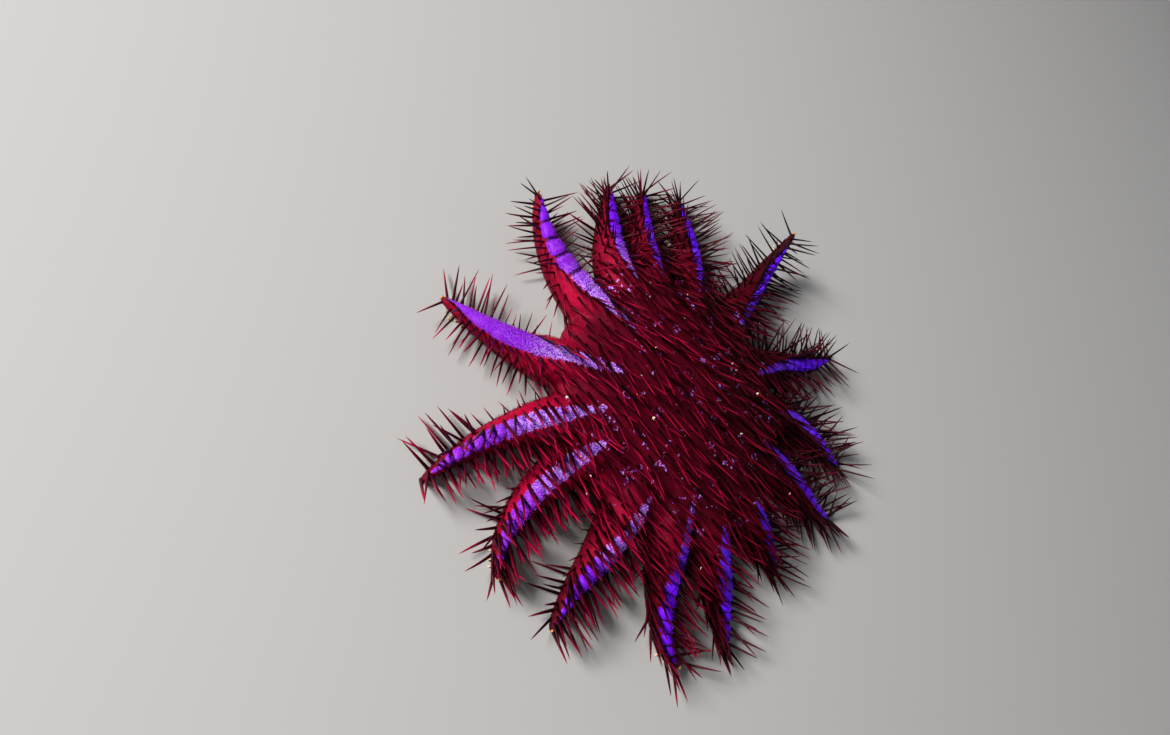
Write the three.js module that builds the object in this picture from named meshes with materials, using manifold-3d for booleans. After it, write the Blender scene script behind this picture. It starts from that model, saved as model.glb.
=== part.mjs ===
// Crown of thorns starfish at life size, lying on its underside with three arms curling up.
// Millimetres, +Z up. The star is built round its own axis with the underside at z = 0, and
// the whole group is then shifted so that the origin is under the middle of its bounding box.
import * as THREE from "three";
import { mergeVertices } from "three/addons/utils/BufferGeometryUtils.js";
import Module from "manifold-3d";

const wasm = await Module();
wasm.setup();

// Driving dimensions of the body
const ROOT_RADIUS = 92; // star axis to the plane where an arm meets the disc
const DISC_RADIUS = 90.5;
const DISC_HEIGHT = 39;
const DISC_STEPS = 36; // facets round the disc
const MOUTH_RADIUS = 16;
const MOUTH_DEPTH = 6;
const MOUTH_STEPS = 16;
const ARM_HALF_WIDTH = 17; // at the root
const ARM_HEIGHT = 30; // at the root
const TIP_WIDTH_LOSS = 0.8; // share of the half width lost by the tip
const TIP_HEIGHT_LOSS = 0.7;
const WIDTH_TAPER = 0.9; // 1 loses it evenly along the arm, more loses it later
const HEIGHT_TAPER = 1.2;
const TIP_RISE = 2.2; // how late along the arm a raised tip leaves the floor
const TIP_CAP = 4; // rounded end past the last full section
const GROOVE_DEPTH = 3; // the groove for the tube feet, under each arm
const GROOVE_EASE = 0.5; // the disc's grooves are this much wider and deeper than the arms'
const GAP = 0.3; // clear space between neighbouring sub-parts
const SUNK = 42; // how far an arm's form runs on inside the disc
const INNER_RISE = 0.34; // the ridge goes on rising there, up to the top of the dome

// Each arm: name, root angle, bend of the line from root to tip and further curl of the tip
// itself in degrees, length past the root, height of the top of its tip, and how much its
// spines lie over the way of the disc's, from 0 to 1. Angles run anticlockwise from +X.
const ARMS = [
  ["arm_01", -29, 10, 42, 74.5, 13.9, 0.75],
  ["arm_02", -8.3, -3.2, 2, 74, 9, 0.7],
  ["arm_03", 16, -3, -3, 50, 9, 0.6],
  ["arm_04", 41.7, -2.5, 16, 73.7, 9, 0.5],
  ["arm_05", 66, -22.5, -4, 77.5, 10.1, 0.5],
  ["arm_06", 89, -7, 13, 75.9, 19.5, 0.3],
  ["arm_07", 116, 7.4, 6, 80, 46.3, 0.15],
  ["arm_08", 143.6, 9.8, -2, 73.3, 9, 0.2],
  ["arm_09", 165.2, -14, -19.5, 71.2, 9, 0.2],
  ["arm_10", 181.2, -22, -4, 70.6, 14.3, 0.2],
  ["arm_11", 203.6, -17.6, -18.7, 72.8, 24.9, 0.05],
  ["arm_12", 236.2, -11.9, -6.7, 76.5, 14.7, 0.25],
  ["arm_13", 259.9, 14.1, 16.3, 88.1, 9, 0.8],
  ["arm_14", 278, 24, 42, 79.5, 13.7, 0.8],
  ["arm_15", 307.5, -5.5, 11, 74.6, 9.2, 0.8],
].map(([name, root, bend, curl, reach, tipTop, laidOver]) => ({
  name,
  root: THREE.MathUtils.degToRad(root),
  bend: THREE.MathUtils.degToRad(bend),
  curl: THREE.MathUtils.degToRad(curl),
  reach,
  tipTop,
  laidOver,
}));

// Driving dimensions of the spines
const SPINE_RADIUS = 1.35;
const SPINE_WAIST = 0.74; // radius at the middle ring, as a share of the root's
const SPINE_SUNK = 3.5; // length of a spine's root inside the body
const DISC_SPINES = 100;
const DISC_SPINE_LENGTH = 42;
const RIM_LOSS = 0.2; // share of that length lost by the rim
const LAID = 0.95; // 0 stands upright, 1 lies the way of LIE
const LIE = new THREE.Vector3(0.6, -0.35, 0.8).normalize(); // the way the disc's spines lie
const OVERLAP = [-0.1, 0.6]; // along an arm, its spines turn from that way to their own
const FACING = [-0.6, 0.3]; // and so they do on flanks that face away from it
// Rows of spines along each side of an arm. place is a point of SECTION, count the spines
// along the arm, and lean how far they stand off upright, in radians.
const ROWS = [
  { place: 4, count: 7, stagger: 0.2, length: 26, lean: 0.7 }, // on the shoulder
  { place: 3, count: 5, stagger: 0.6, length: 24, lean: 1.3 }, // on the flank
];
const FORWARD = 0.25; // lean towards the tip
const TIP_SPINES = 4;
const TIP_SPINE_LENGTH = 19;
const TIP_FAN = 2.2; // angle over which they spread, in radians
const LOWEST = 0.8; // no spine comes nearer the floor than this

const flesh = (color) =>
  new THREE.MeshStandardMaterial({ color, roughness: 0.72, metalness: 0 });
const discFlesh = flesh(0x6e0a1c);
const armFlesh = flesh(0x5f0b2c);
const mouthFlesh = flesh(0xb59a86);

// Seeded random numbers in 0..1, the same on every run.
function randomSource(seed) {
  let state = seed;
  return () => {
    state = (state * 1664525 + 1013904223) % 4294967296;
    return state / 4294967296;
  };
}
const random = randomSource(20417);
const around = (middle, share) => middle * (1 + share * (2 * random() - 1));

// Solids: a closed geometry to a manifold, and back.
function solidOf(geometry) {
  const bare = new THREE.BufferGeometry();
  bare.setAttribute("position", geometry.getAttribute("position"));
  bare.setIndex(geometry.index);
  const merged = mergeVertices(bare, 1e-4);
  return new wasm.Manifold(
    new wasm.Mesh({
      numProp: 3,
      vertProperties: new Float32Array(merged.getAttribute("position").array),
      triVerts: new Uint32Array(merged.index.array),
    }),
  );
}

function geometryOf(solid) {
  const { vertProperties, triVerts } = solid.getMesh();
  const geometry = new THREE.BufferGeometry();
  geometry.setAttribute("position", new THREE.BufferAttribute(vertProperties, 3));
  geometry.setIndex(new THREE.BufferAttribute(triVerts, 1));
  geometry.computeVertexNormals();
  return geometry;
}

// The largest closed surface of a solid, without loose scraps or sealed hollows.
function largest(solid) {
  return solid.decompose().reduce((a, b) => (b.volume() > a.volume() ? b : a));
}

// A closed skin over rings of equal count. Rings run anticlockwise seen from the last one;
// an end is closed by a fan to one apex point.
function loft(rings, firstApex, lastApex) {
  const count = rings[0].length;
  const points = [...rings.flat(), firstApex, lastApex];
  const first = points.length - 2;
  const last = points.length - 1;
  const faces = [];
  for (let k = 0; k < count; k++) {
    const next = (k + 1) % count;
    for (let r = 0; r + 1 < rings.length; r++) {
      const low = r * count;
      const high = low + count;
      faces.push(low + k, low + next, high + next, low + k, high + next, high + k);
    }
    const top = (rings.length - 1) * count;
    faces.push(first, next, k, last, top + k, top + next);
  }
  const geometry = new THREE.BufferGeometry().setFromPoints(points);
  geometry.setIndex(faces);
  return geometry;
}

// An arm's centre line on the floor. s is 0 at the root and 1 at the tip, and negative
// inside the disc.
const UP = new THREE.Vector3(0, 0, 1);
const heading = (angle) => new THREE.Vector3(Math.cos(angle), Math.sin(angle), 0);

function centreline(arm) {
  const out = heading(arm.root);
  const last = heading(arm.root + arm.bend + arm.curl);
  const root = out.clone().multiplyScalar(ROOT_RADIUS);
  const tip = root.clone().addScaledVector(heading(arm.root + arm.bend), arm.reach);
  const knee = root.clone().addScaledVector(out, arm.reach / 3);
  const wrist = tip.clone().addScaledVector(last, -arm.reach / 3);
  const bow = new THREE.CubicBezierCurve3(root, knee, wrist, tip);
  return {
    tip,
    at: (s) => (s < 0 ? root.clone().addScaledVector(out, s * arm.reach) : bow.getPoint(s)),
    along: (s) => (s < 0 ? out.clone() : bow.getTangent(s)),
  };
}

const halfWidth = (s) =>
  ARM_HALF_WIDTH * (1 - TIP_WIDTH_LOSS * Math.max(s, 0) ** WIDTH_TAPER);
const height = (s) =>
  ARM_HEIGHT * (s < 0 ? 1 - INNER_RISE * s : 1 - TIP_HEIGHT_LOSS * s ** HEIGHT_TAPER);

// How far an arm's underside is lifted off the floor at s.
function lift(arm, s) {
  const tipLift = Math.max(arm.tipTop - height(1), 0);
  return tipLift * Math.max(s, 0) ** TIP_RISE;
}

// Half of an arm's section, from the groove's edge up to the ridge: shares of the half
// width and of the height, with flat feet on the floor.
const SECTION = [
  [0.26, 0],
  [0.7, 0],
  [1, 0.26],
  [0.95, 0.55],
  [0.68, 0.84],
  [0.27, 0.98],
];

const MIDDLE = 0.45; // height of the middle of a section, as a share of its height

// A point of an arm's surface: side is 1 or -1, place counts along SECTION.
function armPoint(arm, line, s, side, place, shrink = 1) {
  const along = line.along(s);
  const across = new THREE.Vector3(along.y, -along.x, 0);
  const [w, h] = SECTION[place];
  const middle = height(s) * MIDDLE;
  const up = middle + (h * height(s) - middle) * shrink;
  return line
    .at(s)
    .addScaledVector(across, side * w * halfWidth(s) * shrink)
    .setZ(up + lift(arm, s));
}

function armRing(arm, line, s, shrink = 1) {
  const right = SECTION.map((_, place) => armPoint(arm, line, s, 1, place, shrink));
  const left = SECTION.map((_, place) => armPoint(arm, line, s, -1, place, shrink));
  const depth = GROOVE_DEPTH * Math.min(height(s) / ARM_HEIGHT, 1);
  const groove = line.at(s).setZ(lift(arm, s) + depth);
  return [groove, ...left, ...right.reverse()];
}

const STATIONS = [0, 0.26, 0.52, 0.76, 0.95];
const TIP_SHRINK = 0.72; // the last section, as a share of a full one

function armForm(arm) {
  const line = centreline(arm);
  const inner = -SUNK / arm.reach;
  const rings = [inner, ...STATIONS].map((s) => armRing(arm, line, s));
  rings.push(armRing(arm, line, 1, TIP_SHRINK));
  const middle = (s) => lift(arm, s) + height(s) * MIDDLE;
  const back = line.at(inner).setZ(middle(inner));
  const end = line.at(1).addScaledVector(line.along(1), TIP_CAP).setZ(middle(1));
  return solidOf(loft(rings, back, end));
}

// The disc: a low dome with a rounded rim and a recess for the mouth.
function discForm() {
  const rim = DISC_RADIUS;
  const profile = [
    [0, MOUTH_DEPTH],
    [MOUTH_RADIUS, MOUTH_DEPTH],
    [MOUTH_RADIUS, 0],
    [rim - 10, 0],
    [rim - 1.5, 6],
    [rim, 14],
    [rim - 3, 20.5],
    [rim - 11, 26.5],
    [rim * 0.7, 32],
    [rim * 0.48, 36],
    [rim * 0.24, 38.3],
    [0, DISC_HEIGHT],
  ].map(([r, z]) => new THREE.Vector2(r, z));
  const dome = new THREE.LatheGeometry(profile, DISC_STEPS);
  dome.rotateX(Math.PI / 2); // the lathe's axis is +Y
  return solidOf(dome);
}

// Plan outlines: a polygon cut by a line, keeping what lies behind its normal.
function clip(polygon, point, normal) {
  const side = (p) => p.clone().sub(point).dot(normal);
  return polygon.flatMap((p, i) => {
    const q = polygon[(i + 1) % polygon.length];
    const [a, b] = [side(p), side(q)];
    const crossing = p.clone().lerp(q, a / (a - b));
    if (a <= 0) return b <= 0 ? [p] : [p, crossing];
    return b <= 0 ? [crossing] : [];
  });
}

const FIELD = 320; // the cutting prisms reach this far from the axis
const CEILING = 140; // and from below the floor to above the highest tip
const CELLAR = 10;
const field = [[-1, -1], [1, -1], [1, 1], [-1, 1]].map(
  ([x, y]) => new THREE.Vector2(x * FIELD, y * FIELD),
);
const flat = (v) => new THREE.Vector2(v.x, v.y);

function prism(outline) {
  const shape = new THREE.Shape(outline);
  const block = new THREE.ExtrudeGeometry(shape, { depth: CEILING, bevelEnabled: false });
  return solidOf(block.translate(0, 0, -CELLAR));
}

// The line between two neighbouring arms, from the disc's corner out between their tips.
function divide(arm, next) {
  const half = (((next.root - arm.root) % (2 * Math.PI)) + 2 * Math.PI) % (2 * Math.PI) / 2;
  const corner = flat(heading(arm.root + half)).multiplyScalar(ROOT_RADIUS / Math.cos(half));
  const far = flat(centreline(arm).tip).add(flat(centreline(next).tip)).multiplyScalar(0.5);
  const line = far.sub(corner).normalize();
  return { corner, normal: new THREE.Vector2(-line.y, line.x) };
}

const neighbour = (i, step) => ARMS[(i + step + ARMS.length) % ARMS.length];

function armTerritory(i) {
  const arm = ARMS[i];
  const out = flat(heading(arm.root));
  const left = divide(arm, neighbour(i, 1));
  const right = divide(neighbour(i, -1), arm);
  const moved = (p, n, by) => p.clone().addScaledVector(n, by);
  const inner = out.clone().multiplyScalar(ROOT_RADIUS + GAP / 2);
  let outline = clip(field, inner, out.clone().negate());
  outline = clip(outline, moved(left.corner, left.normal, -GAP / 2), left.normal);
  return clip(outline, moved(right.corner, right.normal, GAP / 2), right.normal.clone().negate());
}

function discTerritory() {
  return ARMS.reduce((outline, arm) => {
    const out = flat(heading(arm.root));
    return clip(outline, out.clone().multiplyScalar(ROOT_RADIUS - GAP / 2), out);
  }, field);
}

// A groove of the disc's underside, from beside the mouth to the arm's root.
function discGroove(arm) {
  const out = heading(arm.root);
  const across = new THREE.Vector3(out.y, -out.x, 0);
  const halfWide = SECTION[0][0] * ARM_HALF_WIDTH + GROOVE_EASE;
  const below = -0.01; // just past the underside, for a clean cut
  const ring = (r) => [
    out.clone().multiplyScalar(r).setZ(GROOVE_DEPTH + GROOVE_EASE),
    out.clone().multiplyScalar(r).addScaledVector(across, halfWide).setZ(below),
    out.clone().multiplyScalar(r).addScaledVector(across, -halfWide).setZ(below),
  ];
  const start = MOUTH_RADIUS + 9;
  const end = ROOT_RADIUS + 4;
  const mid = (r) => out.clone().multiplyScalar(r).setZ(GROOVE_DEPTH / 3);
  return solidOf(loft([ring(start), ring(end)], mid(start - 4), mid(end + 1)));
}

// A spine: three-sided, tapered, slightly bowed, with its root sunk in the body.
function spinePath(root, direction, length, bow) {
  const start = root.clone().addScaledVector(direction, -SPINE_SUNK);
  const half = root.clone().addScaledVector(direction, length / 2);
  const middle = half.addScaledVector(bow, -length);
  const tip = root.clone().addScaledVector(direction, length);
  return { start, middle, tip };
}

function spineForm({ start, middle, tip }, radius) {
  const axis = tip.clone().sub(start).normalize();
  const a = new THREE.Vector3(-axis.y, axis.x, 0.01).cross(axis).normalize();
  const b = axis.clone().cross(a);
  const ring = (centre, r) =>
    [0, 1, 2].map((k) => {
      const turn = (k * 2 * Math.PI) / 3;
      return centre
        .clone()
        .addScaledVector(a, r * Math.cos(turn))
        .addScaledVector(b, r * Math.sin(turn));
    });
  const rings = [ring(start, radius), ring(middle, radius * SPINE_WAIST)];
  return solidOf(loft(rings, start, tip));
}

// Shortest distance between two straight pieces.
function pieceDistance(p1, q1, p2, q2) {
  const d1 = q1.clone().sub(p1);
  const d2 = q2.clone().sub(p2);
  const r = p1.clone().sub(p2);
  const [a, e, f] = [d1.dot(d1), d2.dot(d2), d2.dot(r)];
  const [c, b] = [d1.dot(r), d1.dot(d2)];
  const clamp = (x) => Math.min(Math.max(x, 0), 1);
  const span = a * e - b * b;
  let s = span > 1e-9 ? clamp((b * f - c * e) / span) : 0;
  let t = (b * s + f) / e;
  if (t < 0 || t > 1) {
    t = clamp(t);
    s = clamp((b * t - c) / a);
  }
  return p1.clone().addScaledVector(d1, s).distanceTo(p2.clone().addScaledVector(d2, t));
}

function spineDistance(one, other) {
  const pieces = (s) => [[s.start, s.middle], [s.middle, s.tip]];
  const gaps = pieces(one).flatMap((p) => pieces(other).map((q) => pieceDistance(...p, ...q)));
  return Math.min(...gaps);
}

// Every sub-part's body before its spines, and the spines placed so far.
const bodies = new Map();
const spines = [];

// Spines of one sub-part may come nearer to each other than those of two.
const OWN_ROOM = 0.6;

function clearOfOthers(path, radius, owner) {
  const room = 2 * radius + GAP;
  const crossed = spines.some((other) => {
    const least = other.owner === owner ? OWN_ROOM * room : room;
    return spineDistance(path, other.path) < least;
  });
  if (crossed) return false;
  const fat = spineForm(path, radius + 2 * GAP);
  return [...bodies].every(([name, body]) => name === owner || fat.intersect(body).isEmpty());
}

// Ways to plant a spine, tried in turn until it crosses nothing: share of its length, and how
// much more upright it stands.
const TRIES = [[1, 0], [1, 0.25], [0.85, 0.1], [0.75, 0.45], [0.6, 0.2]];
const BOW_SIDE = 0.03; // bow of a spine, as a share of its length
const BOW_DOWN = 0.02;

function plant(owner, root, direction, length, radius = SPINE_RADIUS) {
  const bow = new THREE.Vector3(BOW_SIDE * (random() - 0.5), 0, BOW_DOWN);
  for (const [share, rise] of TRIES) {
    const aim = direction.clone().addScaledVector(UP, rise).normalize();
    const reach = length * share;
    const floorRise = (LOWEST - root.z) / reach;
    if (aim.z < floorRise) aim.setZ(floorRise).normalize();
    const path = spinePath(root, aim, reach, bow);
    if (path.tip.z > LOWEST / 2 && clearOfOthers(path, radius, owner)) {
      spines.push({ owner, path, radius });
      return;
    }
  }
}

function plantOnArm(arm) {
  const line = centreline(arm);
  for (const { place, count, stagger, length, lean } of ROWS) {
    for (let k = 0; k < count * 2; k++) {
      const side = k % 2 ? 1 : -1;
      const s = (Math.floor(k / 2) + stagger + 0.4 * random()) / count;
      const along = line.along(s);
      const across = new THREE.Vector3(along.y, -along.x, 0).multiplyScalar(side);
      const normal = across.multiplyScalar(Math.sin(lean)).addScaledVector(UP, Math.cos(lean));
      const own = normal.clone().addScaledVector(along, around(FORWARD, 0.6)).normalize();
      const laid = 1 - THREE.MathUtils.smoothstep(s, ...OVERLAP) * (1 - arm.laidOver);
      const facing = THREE.MathUtils.smoothstep(normal.dot(LIE), ...FACING);
      const aim = own.lerp(LIE, laid * facing).normalize();
      const grown = around(length, 0.15) * (1 - 0.25 * s);
      plant(arm.name, armPoint(arm, line, s, side, place), aim, grown);
    }
  }
  for (let k = 0; k < TIP_SPINES; k++) {
    const fan = ((k + 0.5) / TIP_SPINES - 0.5) * TIP_FAN;
    const level = line.along(1).applyAxisAngle(UP, fan);
    const aim = level.addScaledVector(UP, around(0.5, 0.5)).normalize();
    const root = line.at(0.98).setZ(lift(arm, 1) + height(1) * 0.6);
    const length = around(TIP_SPINE_LENGTH, 0.15);
    plant(arm.name, root.addScaledVector(aim, 2), aim, length, 0.9 * SPINE_RADIUS);
  }
}

// Spines over the disc, spread by the golden angle and set on its top surface.
function plantOnDisc(mesh) {
  const golden = Math.PI * (3 - Math.sqrt(5));
  const ray = new THREE.Raycaster();
  for (let k = 0; k < DISC_SPINES; k++) {
    const r = (ROOT_RADIUS - 7) * Math.sqrt((k + 0.6) / DISC_SPINES);
    const above = heading(k * golden).multiplyScalar(r).setZ(CEILING);
    ray.set(above, UP.clone().negate());
    const [hit] = ray.intersectObject(mesh);
    const aim = UP.clone().lerp(LIE, around(LAID, 0.15)).normalize();
    const length = around(DISC_SPINE_LENGTH, 0.14) * (1 - (RIM_LOSS * r) / ROOT_RADIUS);
    plant("disc", hit.point, aim, length);
  }
}

// The soft membrane round the mouth, with a funnel in its middle.
function mouthForm() {
  const edge = MOUTH_RADIUS - GAP;
  const roof = MOUTH_DEPTH - GAP;
  const profile = [
    [0, roof],
    [0, 4.2],
    [2.5, 3.4],
    [edge * 0.45, 1.6],
    [edge * 0.8, 1.2],
    [edge, 2.2],
    [edge, roof],
    [0, roof],
  ].map(([r, z]) => new THREE.Vector2(r, z));
  const ring = new THREE.LatheGeometry(profile, MOUTH_STEPS);
  ring.rotateX(Math.PI / 2);
  return solidOf(ring);
}

// Assembly
const forms = ARMS.map(armForm);
const grooves = ARMS.map(discGroove);
const disc = wasm.Manifold.union([discForm(), ...forms])
  .intersect(prism(discTerritory()))
  .subtract(wasm.Manifold.union(grooves));
bodies.set("disc", largest(disc));
ARMS.forEach((arm, i) => {
  bodies.set(arm.name, largest(forms[i].intersect(prism(armTerritory(i)))));
});

ARMS.forEach(plantOnArm);
plantOnDisc(new THREE.Mesh(geometryOf(bodies.get("disc"))));

const star = new THREE.Group();
for (const [name, body] of bodies) {
  const own = spines.filter((s) => s.owner === name).map((s) => spineForm(s.path, s.radius));
  const whole = largest(wasm.Manifold.union([body, ...own]));
  const mesh = new THREE.Mesh(geometryOf(whole), name === "disc" ? discFlesh : armFlesh);
  mesh.name = name;
  star.add(mesh);
}
const mouth = new THREE.Mesh(geometryOf(mouthForm()), mouthFlesh);
mouth.name = "mouth";
star.add(mouth);

const bounds = new THREE.Box3().setFromObject(star);
const centre = bounds.getCenter(new THREE.Vector3());
star.position.set(-centre.x, -centre.y, -bounds.min.z);

const part = new THREE.Group();
part.name = "crown_of_thorns_starfish";
part.add(star);

export default part;
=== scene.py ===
"""Looks of a crown of thorns starfish: one velvety skin over disc and arms, long spines that
lie over to one side, short spinelets, skin gills, tube feet, a mouth, knobs on the arm tips, and
a few pale grains between the spines.
Metres, +Z up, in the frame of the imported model."""

import math
from collections import namedtuple

import bpy
import numpy as np
from mathutils import Matrix, Vector, noise


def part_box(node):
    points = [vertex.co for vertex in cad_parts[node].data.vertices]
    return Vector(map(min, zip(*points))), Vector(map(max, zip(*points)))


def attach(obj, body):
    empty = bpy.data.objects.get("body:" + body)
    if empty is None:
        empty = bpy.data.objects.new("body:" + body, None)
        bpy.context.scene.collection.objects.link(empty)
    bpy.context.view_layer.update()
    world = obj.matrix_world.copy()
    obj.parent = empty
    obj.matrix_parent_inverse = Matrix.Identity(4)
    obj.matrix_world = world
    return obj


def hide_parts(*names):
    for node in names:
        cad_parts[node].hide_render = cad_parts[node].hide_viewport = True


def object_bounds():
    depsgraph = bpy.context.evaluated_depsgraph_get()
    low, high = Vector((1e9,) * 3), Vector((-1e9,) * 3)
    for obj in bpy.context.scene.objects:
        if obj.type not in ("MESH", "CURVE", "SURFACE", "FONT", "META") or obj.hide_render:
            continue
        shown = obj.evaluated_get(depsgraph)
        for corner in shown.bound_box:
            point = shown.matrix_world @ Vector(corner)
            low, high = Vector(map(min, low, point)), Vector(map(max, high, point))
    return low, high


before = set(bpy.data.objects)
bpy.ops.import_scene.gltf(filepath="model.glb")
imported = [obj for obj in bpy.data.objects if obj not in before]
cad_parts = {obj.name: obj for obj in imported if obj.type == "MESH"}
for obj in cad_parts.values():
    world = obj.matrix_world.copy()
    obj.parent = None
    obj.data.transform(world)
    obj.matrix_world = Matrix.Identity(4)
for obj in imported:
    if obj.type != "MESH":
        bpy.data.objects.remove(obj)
cad_low, cad_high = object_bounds()
MM = 0.001
random = np.random.default_rng(20417)

# The star's axis stands over the middle of its mouth
mouth_low, mouth_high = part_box("mouth")
AXIS = np.array([(mouth_low.x + mouth_high.x) / 2, (mouth_low.y + mouth_high.y) / 2, 0.0])
MOUTH_RADIUS = (mouth_high.x - mouth_low.x) / 2

# Driving sizes of the body, as in the solids
ROOT_RADIUS = 92 * MM
ARM_HALF_WIDTH = 17 * MM
ARM_HEIGHT = 30 * MM
TIP_WIDTH_LOSS = 0.8
TIP_HEIGHT_LOSS = 0.7
WIDTH_TAPER = 0.9
HEIGHT_TAPER = 1.2
TIP_RISE = 2.2
INNER_RISE = 0.34
SUNK = 42 * MM
GROOVE_DEPTH = 3 * MM
INSET = 0.9 * MM  # the skin lies this far inside the solids, so that its relief has room

# Each arm: root angle, bend of the line from root to tip and further curl of the tip itself in
# degrees; length past the root and height of the tip's top in millimetres; and how much its
# spines lie over the way of the disc's. Then its violet band, in millimetres: where it starts
# from the axis, how long the cushions are that it is creased into, how far it runs to the right
# of the ridge on its inner and outer half, and its half widths at even steps.
Arm = namedtuple(
    "Arm", "root bend curl reach tip_top laid_over band_start cushion band_asides band_halves"
)
ARMS = [
    Arm(
        *[math.radians(angle) for angle in angles],
        *[length * MM for length in (reach, top)],
        laid,
        *[length * MM for length in (start, cushion)],
        [aside * MM for aside in asides],
        [0.0, *[half * MM for half in halves], 0.0],
    )
    for angles, reach, top, laid, start, cushion, asides, halves in [
        ((-29, 10, 42), 74.5, 13.9, 0.75, 60, 6.5, (-8, 2), (3.8, 5.0, 5.4, 5.6, 4.2)),
        ((-8.3, -3.2, 2), 74.0, 9.0, 0.7, 85, 7.0, (-3, -2.5), (5.6, 8.0, 7.8, 6.0, 4.4)),
        ((16, -3, -3), 50.0, 9.0, 0.6, 84, 7.0, (-1, -1), (3.0, 4.4, 4.6, 4.0, 2.8)),
        ((41.7, -2.5, 16), 73.7, 9.0, 0.5, 60, 8.0, (-5, -1.5), (4.6, 6.0, 6.4, 6.0, 4.4)),
        ((66, -22.5, -4), 77.5, 10.1, 0.5, 84, 8.0, (-1, 0), (3.4, 4.4, 5.0, 4.8, 3.6)),
        ((89, -7, 13), 75.9, 19.5, 0.3, 68, 8.0, (2, 2), (2.8, 3.6, 4.6, 5.4, 4.4)),
        ((116, 7.4, 6), 80.0, 46.3, 0.15, 78, 8.0, (2, 2), (2.6, 3.4, 3.6, 3.6, 2.8)),
        ((143.6, 9.8, -2), 73.3, 9.0, 0.2, 80, 7.5, (0.5, 0.5), (2.6, 3.4, 4.0, 3.8, 3.0)),
        ((165.2, -14, -19.5), 71.2, 9.0, 0.2, 86, 7.5, (1, 1), (3.0, 3.8, 4.4, 4.2, 3.2)),
        ((181.2, -22, -4), 70.6, 14.3, 0.2, 82, 8.5, (1.5, 1.5), (3.4, 4.6, 5.6, 5.4, 3.8)),
        ((203.6, -17.6, -18.7), 72.8, 24.9, 0.05, 44, 12.5, (1.8, 1), (2.8, 4.6, 7.0, 8.6, 6.6)),
        ((236.2, -11.9, -6.7), 76.5, 14.7, 0.25, 45, 400, (1, 1), (3.8, 4.4, 6.8, 8.2, 5.8)),
        ((259.9, 14.1, 16.3), 88.1, 9.0, 0.8, 62, 5.8, (0.5, 0.5), (3.8, 5.6, 5.8, 5.4, 4.2)),
        ((278, 24, 42), 79.5, 13.7, 0.8, 68, 6.0, (2.5, 0.5), (4.8, 6.0, 6.2, 5.8, 4.2)),
        ((307.5, -5.5, 11), 74.6, 9.2, 0.8, 72, 6.5, (-5.5, -0.5), (4.8, 6.4, 7.0, 5.8, 4.2)),
    ]
]
LIE = np.array([0.6, -0.35, 0.8]) / math.sqrt(1.1225)  # the way the disc's spines lie


def heading(angle):
    return np.array([math.cos(angle), math.sin(angle), 0.0])


def unit(v):
    return v / np.maximum(np.linalg.norm(v, axis=-1, keepdims=True), 1e-12)


def smooth(low, high, x):
    t = np.clip((x - low) / (high - low), 0, 1)
    return t * t * (3 - 2 * t)


def half_width(s):
    return ARM_HALF_WIDTH * (1 - TIP_WIDTH_LOSS * np.maximum(s, 0) ** WIDTH_TAPER)


def height(s):
    outer = 1 - TIP_HEIGHT_LOSS * np.maximum(s, 0) ** HEIGHT_TAPER
    return ARM_HEIGHT * np.where(s < 0, 1 - INNER_RISE * s, outer)


def lift(arm, s):
    """How far the arm's underside is off the floor at s."""
    tip_lift = max(arm.tip_top - float(height(np.array(1.0))), 0)
    return tip_lift * np.maximum(s, 0) ** TIP_RISE


def centreline(arm, s):
    """Points on the floor under the arm and its headings; s is 0 at the root and 1 at the tip."""
    s = np.atleast_1d(np.asarray(s, float))[:, None]
    out = heading(arm.root)
    root = out * ROOT_RADIUS
    knee = root + out * arm.reach / 3
    tip = root + heading(arm.root + arm.bend) * arm.reach
    wrist = tip - heading(arm.root + arm.bend + arm.curl) * arm.reach / 3
    t = np.clip(s, 0, None)
    u = 1 - t
    point = root * u**3 + 3 * knee * t * u**2 + 3 * wrist * t**2 * u + tip * t**3
    along = (knee - root) * u**2 + 2 * (wrist - knee) * t * u + (tip - wrist) * t**2
    point = point + out * arm.reach * np.clip(s, None, 0)
    return point + AXIS, unit(along)


# The source of the skin: a closed dome and a closed form for each arm, which overlap
SECTION = [(0.26, 0), (0.7, 0), (1, 0.26), (0.95, 0.55), (0.68, 0.84), (0.27, 0.98)]


def rounded(points, rounds):
    """A closed outline with its corners cut off a few times."""
    points = np.array(points, float)
    for _ in range(rounds):
        following = np.roll(points, -1, axis=0)
        points = np.stack([0.75 * points + 0.25 * following, 0.25 * points + 0.75 * following], 1)
        points = points.reshape(-1, points.shape[-1])
    return points


def section_outline():
    """Shares of half width and height round an arm's section, from the groove up the left side."""
    left = [(-w, h) for w, h in SECTION]
    right = [(w, h) for w, h in SECTION[::-1]]
    return rounded([(0, GROOVE_DEPTH / ARM_HEIGHT), *left, *right], 2)


def arm_form(arm):
    outline = section_outline()
    inner = -SUNK / arm.reach
    stations = np.concatenate([np.linspace(inner, 0.9, 34), [0.94, 0.97, 0.99, 1.01, 1.025, 1.035]])
    cap = [1.0] * 34 + [1, 0.97, 0.9, 0.76, 0.55, 0.3]
    points, along = centreline(arm, stations)
    rings = []
    for s, shrink, point, way in zip(stations, cap, points, along):
        across = np.array([way[1], -way[0], 0])
        t = min(s, 1.0)
        wide = (float(half_width(np.array(t))) - INSET) * shrink
        tall = float(height(np.array(t)))
        middle = 0.45 * tall
        reach = (tall / 2 - INSET) / (tall / 2) * shrink
        rise = middle + (outline[:, 1] * tall - middle) * reach + float(lift(arm, np.array(t)))
        rings.append(point + across * (outline[:, :1] * wide) + np.array([0, 0, 1]) * rise[:, None])
    return lofted(rings)


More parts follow.
